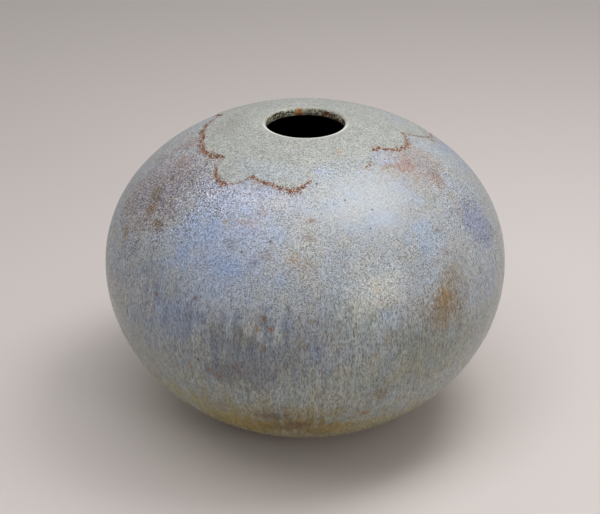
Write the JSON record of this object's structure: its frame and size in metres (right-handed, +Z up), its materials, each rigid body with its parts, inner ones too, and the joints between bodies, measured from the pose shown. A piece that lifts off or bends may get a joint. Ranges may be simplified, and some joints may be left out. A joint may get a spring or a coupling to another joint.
{
  "type": "vase",
  "caption": "Squat globular stoneware vase with a small round mouth, speckled grey-blue glaze and a paler glaze poured over the shoulder, for water and cut flowers.",
  "frame": {"origin": "on the table, at the middle of the foot ring", "axes": "+Z up through the mouth; -Y towards the viewer of the picture; +X to the viewer's right"},
  "size_m": [0.3, 0.3, 0.2308],
  "materials": {
    "stoneware": "bare fired stoneware, matt, warm brown with fine grog",
    "joining_slip": "fired clay slip, matt, a shade paler than the body",
    "blue_glaze": "satin grey-blue glaze with streaks, dark and tan specks and rust spots",
    "poured_glaze": "satin pale grey-green glaze with a rust line at its edge",
    "liner_glaze": "thin satin pale green-grey glaze, specked brown"
  },
  "bodies": {
    "root": {"foot_ring": "stoneware", "foot_slip": "joining_slip", "lower_bowl": "stoneware", "seam_slip": "joining_slip", "upper_bowl": "stoneware", "collar_slip": "joining_slip", "mouth_collar": "stoneware", "liner_glaze": "liner_glaze", "blue_glaze": "blue_glaze", "shoulder_pour": "poured_glaze"}
  },
  "joints": []
}
